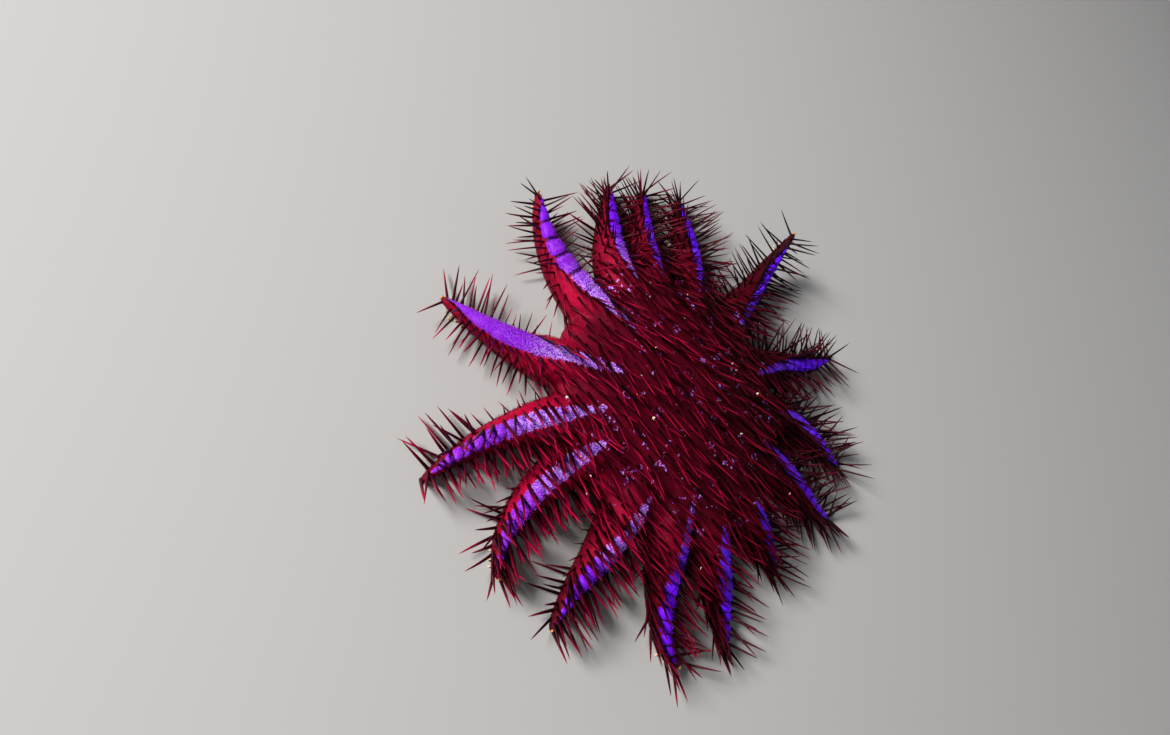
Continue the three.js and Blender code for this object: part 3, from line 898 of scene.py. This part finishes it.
def markings_group():
    """Colour of the star's skin: crimson with a violet band along each arm and violet specks over
    the disc, with a painted light falloff and painted shade on the disc and in the band's creases.
    Also gives the band's mask."""
    sockets = [
        ("Crimson", "NodeSocketColor", CRIMSON),
        ("Dark Crimson", "NodeSocketColor", SHADE_AND_MOTTLE_CRIMSON),
        ("Violet", "NodeSocketColor", VIOLET),
        ("Shade Side Violet", "NodeSocketColor", SHADE_SIDE_VIOLET),
        ("Lavender", "NodeSocketColor", LAVENDER),
        ("Crease Shade", "NodeSocketColor", CREASE_SHADE),
        ("Rounding", "NodeSocketFloat", 0.8),
        ("Speckle", "NodeSocketFloat", 0.565),
    ]
    t = Tree("markings", "ShaderNodeTree", sockets)
    place = t.add("ShaderNodeTexCoord").outputs["Object"]
    share = t.attribute("share")
    # the painted light falloff stored on the skin
    bright = t.attribute("bright")
    coarse = t.noise(place, 120.0, 3.0)
    grain = t.add("ShaderNodeTexVoronoi", {"Vector": place, "Scale": 950.0}).outputs["Distance"]
    papulae = t.ramp(grain, 0.78, 0.33)
    outer = t.ramp(share, 0.3, 0.6)
    from_middle = t.math("SUBTRACT", t.math("FRACT", t.attribute("crease")), 0.5)
    from_middle = t.math("ABSOLUTE", from_middle)
    mask = band_mask(t, place, share, from_middle, outer)
    banded = band_colour(t, share, bright, from_middle, outer, coarse, papulae)
    body = body_colour(t, place, share, bright, coarse, papulae)
    t.output("Color", "NodeSocketColor", t.mix(mask, body, banded))
    t.output("Band", "NodeSocketFloat", mask)
    return t.tree


def grain_group():
    """Fine relief of soft skin: a height for a Bump node, and a variation of 0..1."""
    sockets = [("Size", "NodeSocketFloat", 900.0), ("Roughness", "NodeSocketFloat", 0.6)]
    t = Tree("skin_grain", "ShaderNodeTree", sockets)
    place = t.add("ShaderNodeTexCoord").outputs["Object"]
    cells = {"Vector": place, "Scale": t.start["Size"]}
    fine = t.add("ShaderNodeTexVoronoi", cells).outputs["Distance"]
    clouds = {
        "Vector": place,
        "Scale": t.times(t.start["Size"], 0.3),
        "Roughness": t.start["Roughness"],
    }
    soft = t.add("ShaderNodeTexNoise", clouds).outputs[0]
    t.output("Height", "NodeSocketFloat", t.math("ADD", t.math("SUBTRACT", 1.0, fine), soft))
    t.output("Variation", "NodeSocketFloat", soft)
    return t.tree


def group_in(nodes, tree, **values):
    """A node of that group, with its own values for some of the inputs."""
    node = nodes.new("ShaderNodeGroup")
    node.node_tree = tree
    for label, value in values.items():
        node.inputs[label.replace("_", " ")].default_value = value
    return node


def pores_in(tree, shader, grain, size, strength=0.4, distance=0.3 * MM):
    """Gives the shader the grain as bump, and returns the grain's variation of 0..1."""
    pores = group_in(tree.nodes, grain, Size=size)
    bump = tree.nodes.new("ShaderNodeBump")
    bump.inputs["Strength"].default_value = strength
    bump.inputs["Distance"].default_value = distance
    tree.links.new(pores.outputs["Height"], bump.inputs["Height"])
    tree.links.new(bump.outputs["Normal"], shader.inputs["Normal"])
    return pores.outputs["Variation"]


def attribute_in(tree, name):
    node = tree.nodes.new("ShaderNodeAttribute")
    node.attribute_name = name
    return node.outputs["Fac"]


def range_in(tree, source, low, high):
    """Goes from low to high as the source goes from 0 to 1."""
    node = tree.nodes.new("ShaderNodeMapRange")
    node.inputs[3].default_value = low
    node.inputs[4].default_value = high
    tree.links.new(source, node.inputs[0])
    return node.outputs[0]


def velvet_skin(markings, grain):
    material, tree, shader = principled(
        "velvet_skin",
        Sheen_Weight=0.2,
        Sheen_Roughness=0.4,
        Sheen_Tint=(0.9, 0.03, 0.08, 1),
        Specular_IOR_Level=0.2,
        Specular_Tint=(1.0, 0.35, 0.45, 1),
    )
    marks = group_in(tree.nodes, markings)
    tree.links.new(marks.outputs["Color"], shader.inputs["Base Color"])
    rough = range_in(tree, marks.outputs["Band"], 0.62, 0.42)
    tree.links.new(rough, shader.inputs["Roughness"])
    pores_in(tree, shader, grain, 1000.0)
    return material


# from root to tip: near black at the root as painted shade among the spines, the spines' own crimson
# further out
SPINE_COLOURS_AND_ROOT_SHADE = [  # place along a spine, and colour there
    (0.0, (0.008, 0.0002, 0.0012, 1)),
    (0.35, (0.045, 0.0005, 0.006, 1)),
    (0.8, (0.3, 0.0017, 0.03, 1)),
    (1.0, (0.38, 0.004, 0.04, 1)),
]


def spine_finish(grain):
    material, tree, shader = principled(
        "spine_sheath", Specular_IOR_Level=0.35, Specular_Tint=(1.0, 0.3, 0.35, 1)
    )
    ramp = tree.nodes.new("ShaderNodeValToRGB")
    for _ in SPINE_COLOURS_AND_ROOT_SHADE[2:]:
        ramp.color_ramp.elements.new(0.5)
    for element, (place, colour) in zip(ramp.color_ramp.elements, SPINE_COLOURS_AND_ROOT_SHADE):
        element.position = place
        element.color = colour
    tree.links.new(attribute_in(tree, "along"), ramp.inputs["Fac"])
    mixed = tree.nodes.new("ShaderNodeVectorMath")
    mixed.operation = "SCALE"
    tree.links.new(ramp.outputs["Color"], mixed.inputs[0])
    # scaled by the tint, which carries the painted light falloff
    tree.links.new(attribute_in(tree, "tint"), mixed.inputs["Scale"])
    tree.links.new(mixed.outputs[0], shader.inputs["Base Color"])
    variation = pores_in(tree, shader, grain, 1500.0, 0.35, 0.2 * MM)
    tree.links.new(range_in(tree, variation, 0.3, 0.5), shader.inputs["Roughness"])
    return material


def marked_finish(name, markings):
    """The finish of what is strewn over the skin, with the skin's markings, their painted light
    falloff and painted shade included.
    """
    material, tree, shader = principled(
        name, Roughness=0.5, Specular_IOR_Level=0.25, Specular_Tint=(1.0, 0.3, 0.35, 1)
    )
    colours = {"Crimson": (0.4, 0.002, 0.03, 1), "Dark_Crimson": (0.12, 0.001, 0.012, 1)}
    marks = group_in(tree.nodes, markings, **colours)
    tree.links.new(marks.outputs["Color"], shader.inputs["Base Color"])
    return material


def soft_finish(name, low, high, grain, roughness, size=900.0):
    """A soft, slightly mottled flesh between two colours."""
    material, tree, shader = principled(name, Roughness=roughness)
    mix = tree.nodes.new("ShaderNodeMix")
    mix.data_type = "RGBA"
    mix.inputs[6].default_value = low
    mix.inputs[7].default_value = high
    tree.links.new(pores_in(tree, shader, grain, size), mix.inputs["Factor"])
    tree.links.new(mix.outputs[2], shader.inputs["Base Color"])
    return material


def floor_finish():
    material, tree, shader = principled("pale_floor", Roughness=0.85)
    texture = tree.nodes.new("ShaderNodeTexNoise")
    texture.inputs["Scale"].default_value = 9.0
    grey = range_in(tree, texture.outputs[0], 0.47, 0.5)
    joint = tree.nodes.new("ShaderNodeCombineColor")
    for socket in joint.inputs[:3]:
        tree.links.new(grey, socket)
    tree.links.new(joint.outputs[0], shader.inputs["Base Color"])
    return material


# Profiles: radius along the length, as a share of the base radius
SPINE_PROFILE = [(0, 1.0), (0.15, 0.88), (0.6, 0.6), (0.9, 0.29), (1, 0.05)]
SPINELET_PROFILE = [(0, 1.0), (0.5, 0.7), (1, 0.08)]
GILL_PROFILE = [(0, 0.8), (0.5, 1.0), (0.85, 0.7), (1, 0.15)]
FOOT_PROFILE = [(0, 0.7), (0.5, 0.5), (0.8, 0.55), (0.88, 1.0), (1, 0.9)]

markings = markings_group()
grain = grain_group()
SKIN = velvet_skin(markings, grain)
SPINE = spine_finish(grain)
SPINELET = marked_finish("spinelet_sheath", markings)
GILL = marked_finish("gill_skin", markings)
FOOT = soft_finish("tube_foot", (0.55, 0.38, 0.2, 1), (0.75, 0.6, 0.4, 1), grain, 0.35)
MOUTH = soft_finish("mouth_skin", (0.42, 0.2, 0.16, 1), (0.66, 0.48, 0.38, 1), grain, 0.45)
FLECK = soft_finish("pale_grain", (0.55, 0.45, 0.34, 1), (0.8, 0.74, 0.6, 1), grain, 0.6)
KNOB = soft_finish("tip_knob", (0.55, 0.14, 0.02, 1), (0.75, 0.36, 0.07, 1), grain, 0.4, 2000.0)


def make_skin():
    """The skin, with what its coat and its colours need stored on it, and the spines' roots."""
    skin = skin_blank()
    mesh = skin.data
    base = vectors_of(mesh.vertices, "co")
    up = vectors_of(mesh.vertex_normals, "vector")
    places = places_of(base)
    band = band_of(places)
    phase = crease_phase(base, places)
    rows = rows_beside_bands(base, places, band, phase)
    roots = spread_roots(base, spine_spacing(base, up, places, band), rows)
    raised = relief(base, places, band) * smooth(1 * MM, 5 * MM, base[:, 2])
    rise = hollows(base, up, places)[:, None] * np.array([0, 0, 1])
    set_coordinates(mesh, base + up * raised[:, None] + rise)
    unwrap = unwrap_of(base, places, up[:, 2] > -0.2)
    roundness = np.minimum(5 * MM / of_arms("cushion", places), 1)
    laid = of_arms("laid_over", places)[:, None] + 0.2
    top = smooth(0.0, 0.25, up[:, 2] + 0.3) * smooth(3 * MM, 6 * MM, base[:, 2])
    inside = band.inside / MM
    store(
        mesh,
        band=inside,
        share=band.share,
        # on_arm: 0 on the disc, where the skin gets painted shade under the spines, and 1 on the
        # arms
        on_arm=smooth(-0.35, 0.15, places.s),
        # painted light falloff: 1 towards the key light, low where painted shade darkens the colour
        bright=bright_side(base),
        rounding=band.half * roundness / MM,
        crease=phase,
        unwrap=unwrap,
        lie=unit(alongs_of(places) * 0.6 + LIE * laid),
        fuzz=top * smooth(-0.5, 1.5, -inside),
        gills=smooth(-0.5, 0.5, inside) * smooth(0.85, 0.6, band.share),
    )
    mesh.materials.clear()
    mesh.materials.append(SKIN)
    mesh.shade_smooth()
    on_roots = picked(places, roots)
    spines = spines_at(vectors_of(mesh.vertices, "co")[roots], up[roots], on_roots)
    return skin, spines, on_roots, unwrap[roots]


def picked(values, rows):
    """The same kind of values for those rows alone."""
    return type(values)(*[field[rows] for field in values])


def make_spines(spines, places, unwrap):
    """The disc's spines as one piece, and those of each arm as another."""
    tree = standing_tree("grow_spines", SPINE_PROFILE)
    groups = [("disc_spines", places.s < 0)]
    for i in range(len(ARMS)):
        groups.append((f"arm_spines_{i + 1:02d}", (places.s >= 0) & (places.arm == i)))
    return [
        grown(name, spine_source(name, picked(spines, rows), unwrap[rows]), tree, Finish=SPINE)
        for name, rows in groups
    ]


def strewn(name, skin, density, profile, **values):
    """Short rods strewn over a copy of the skin, as densely as that attribute of it says."""
    ground = placed(name + "_ground", skin.data.copy())
    return grown(name, ground, strewn_tree("strew_" + name, density, profile), **values)


def make_spinelets(skin):
    return strewn(
        "spinelets", skin, "fuzz", SPINELET_PROFILE, Steps=2, Sides=4, Finish=SPINELET,
        Most_per_Square_Metre=260000.0, Shortest=0.9 * MM, Longest=2.4 * MM,
        Thickness=0.2 * MM, Lie=0.7,
    )


def make_gills(skin):
    return strewn(
        "skin_gills", skin, "gills", GILL_PROFILE, Steps=3, Sides=4, Finish=GILL,
        Most_per_Square_Metre=500000.0, Shortest=0.5 * MM, Longest=1.1 * MM,
        Thickness=0.32 * MM, Lie=0.3, Seed=11,
    )


FOOT_SPACING = 4.2 * MM
FOOT_RADIUS = 0.75 * MM
FOOT_ASIDE = 1.3 * MM  # from the groove's middle line to each row
FOOT_REACH = (1.5 * MM, 5.0 * MM)  # how far the feet hang below an arm that is off the floor
FOOT_ABOVE = 0.7 * MM  # the feet end this far above the floor, so that their tilted cups clear it
FIRST_FOOT = 14 * MM  # from the mouth's edge to the first feet
LAST_FOOT = 0.93  # place s of the last feet along the arm


def make_tube_feet():
    """Two rows of tube feet in each arm's groove, longer where the arm is off the floor."""
    feet = []
    for arm in ARMS:
        span = ROOT_RADIUS - MOUTH_RADIUS - FIRST_FOOT
        count = int((arm.reach + span) / FOOT_SPACING)
        for s in np.linspace(-span / arm.reach, LAST_FOOT, count):
            point, along = centreline(arm, s)
            across = np.array([along[0][1], -along[0][0], 0])
            raised = float(lift(arm, np.array(s)))
            depth = GROOVE_DEPTH * min(float(height(np.array(s))) / ARM_HEIGHT, 1)
            rise = np.array([0, 0, raised + 0.8 * depth + 0.6 * MM])
            for side in (-1, 1):
                root = point[0] + across * side * FOOT_ASIDE + rise
                sway = random.normal(size=3) * [0.2, 0.2, 0]
                aim = unit(np.array([0, 0, -1.0]) + across * side * 0.3 + sway)
                end = max(FOOT_ABOVE, raised - random.uniform(*FOOT_REACH))
                feet.append((root, aim, (root[2] - end) / -aim[2]))
    roots, aims, longs = map(np.array, zip(*feet))
    count = len(roots)
    places = places_of(roots)
    unwrap = unwrap_of(roots, places, np.zeros(count, bool))
    feet = Spines(roots, aims, longs, np.full(count, FOOT_RADIUS), np.zeros((count, 3)))
    source = spine_source("tube_feet", feet, unwrap)
    tree = standing_tree("grow_tube_feet", FOOT_PROFILE)
    return grown("tube_feet", source, tree, Finish=FOOT, Steps=8, Sides=8)


# Outline of the mouth's membrane, as shares of the mouth's radius and of its depth
MEMBRANE_PROFILE = [
    (0.98, 1.0), (1.0, 0.5), (0.97, 0.3), (0.82, 0.12), (0.6, 0.1),
    (0.42, 0.2), (0.25, 0.42), (0.1, 0.68), (0.04, 0.72),
]
PLEATS = 24


def make_mouth():
    """A pleated membrane that closes the mouth's recess, with a puckered opening."""
    turn = np.linspace(0, 2 * math.pi, 4 * PLEATS, endpoint=False)
    roof = mouth_high.z - mouth_low.z
    rings = []
    for r, z in MEMBRANE_PROFILE:
        deep = 0.09 * (r < 0.9) * smooth(0.0, 0.5, np.array(r)) * (1 - 0.4 * r)
        pleat = deep * np.cos(PLEATS * turn)
        rise = mouth_low.z + roof * np.clip(z + pleat, 0.02, 1)
        rings.append(ring(MOUTH_RADIUS * r, turn, rise) + AXIS)
    return smooth_object("mouth_membrane", [lofted(rings)], MOUTH)


def lump(centre, up, wide, tall):
    """A small rounded bump, with its short axis along up."""
    turn = np.linspace(0, 2 * math.pi, 12, endpoint=False)
    rings = []
    for angle in np.radians(np.linspace(-75, 75, 7)):
        radius = wide * math.cos(angle) * (1 + 0.12 * np.sin(3 * turn + 100 * centre[0] / MM))
        rings.append(ring(radius, turn, tall * math.sin(angle)))
    points, faces = lofted(rings)
    tilt = Vector(up).to_track_quat("Z", "Y").to_matrix()
    return points @ np.array(tilt).T + centre, faces


def make_knobs():
    """The small orange knob over the last tube foot of each arm."""
    forms = []
    for arm in ARMS:
        point, along = centreline(arm, 1.0)
        rise = float(lift(arm, np.array(1.0))) + 0.62 * float(height(np.array(1.0)))
        centre = point[0] + along[0] * 2.0 * MM + np.array([0, 0, rise])
        forms.append(lump(centre, along[0] + np.array([0, 0, 0.9]), 1.0 * MM, 0.9 * MM))
    return smooth_object("tip_knobs", forms, KNOB)


FLECKS = 26  # grains in all


def make_flecks(spines, places):
    """Pale grains caught between the spines of the disc."""
    forms = []
    for i in random.choice(np.flatnonzero(places.s < 0.1), FLECKS, replace=False):
        share = random.uniform(0.3, 0.85)
        centre = spines.root[i] + spines.aim[i] * spines.long[i] * share
        centre += spines.bow[i] * share**2
        up = unit(random.normal(size=3))
        forms.append(lump(centre, up, random.uniform(0.5, 1.1) * MM, 0.4 * MM))
    return smooth_object("flecks", forms, FLECK)


def smooth_object(name, forms, material):
    made = mesh_object(name, *joined(forms))
    made.data.materials.append(material)
    made.data.shade_smooth()
    return made


# The camera stands where the photograph was taken from, and is rolled as it was
CAMERA_PLACE = (0.0, -347 * MM, 430 * MM)  # from the star's axis
CAMERA_TARGET = (-39.7 * MM, -62.8 * MM, 25 * MM)
CAMERA_ROLL = math.radians(62.2)
LENS = 24.6


def set_camera():
    """The camera, level with its target and then rolled."""
    data = bpy.data.cameras.new("camera")
    data.lens = LENS
    data.sensor_width = 36
    data.clip_start = 0.01
    camera = placed("camera", data)
    place = Vector(AXIS) + Vector(CAMERA_PLACE)
    look = (Vector(AXIS) + Vector(CAMERA_TARGET) - place).to_track_quat("-Z", "Y").to_matrix()
    turned = look @ Matrix.Rotation(CAMERA_ROLL, 3, "Z")
    camera.matrix_world = Matrix.Translation(place) @ turned.to_4x4()
    bpy.context.scene.camera = camera


def area_light(name, place, size, power, colour=(1, 1, 1)):
    data = bpy.data.lights.new(name, "AREA")
    data.size = size
    data.energy = power
    data.color = colour
    light = placed(name, data)
    light.location = Vector(AXIS) + Vector(place)
    light.rotation_euler = (-Vector(place)).to_track_quat("-Z", "Y").to_euler()


FLOOR = 8.0  # half the floor's width


def set_stage():
    bpy.context.scene.view_settings.view_transform = "Standard"
    corners = [(FLOOR * x, FLOOR * y, 0) for x, y in ((-1, -1), (1, -1), (1, 1), (-1, 1))]
    floor = mesh_object("floor", corners, [(0, 1, 2, 3)])
    floor.data.materials.append(floor_finish())
    world = bpy.data.worlds.new("room")
    world.use_nodes = True
    sky = world.node_tree.nodes["Background"].inputs
    sky["Color"].default_value = (0.85, 0.88, 0.95, 1)
    sky["Strength"].default_value = 0.07
    bpy.context.scene.world = world
    area_light("key", (-1.36, -2.08, 1.68), 0.64, 148, (1.0, 0.97, 0.94))
    area_light("fill", (0.9, -0.6, 1.6), 1.4, 1.0)
    area_light("rim", (0.4, 1.4, 0.8), 0.8, 1.5, (0.92, 0.95, 1.0))


skin, spines, root_places, root_unwrap = make_skin()
coat = make_spines(spines, root_places, root_unwrap)
coat += [make_spinelets(skin), make_gills(skin)]
feet = make_tube_feet()
mouth = make_mouth()
knobs = make_knobs()
flecks = make_flecks(spines, root_places)

arm_names = [f"arm_{i + 1:02d}" for i in range(len(ARMS))]
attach(skin, "root")
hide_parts("disc", *arm_names)
for piece in coat:
    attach(piece, "root")
for piece in (feet, mouth):
    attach(piece, "root")
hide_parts("mouth")
for piece, slot in ((knobs, "arm_flesh"), (flecks, "disc_flesh")):
    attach(piece, "root")

set_stage()
set_camera()

bpy.context.view_layer.update()
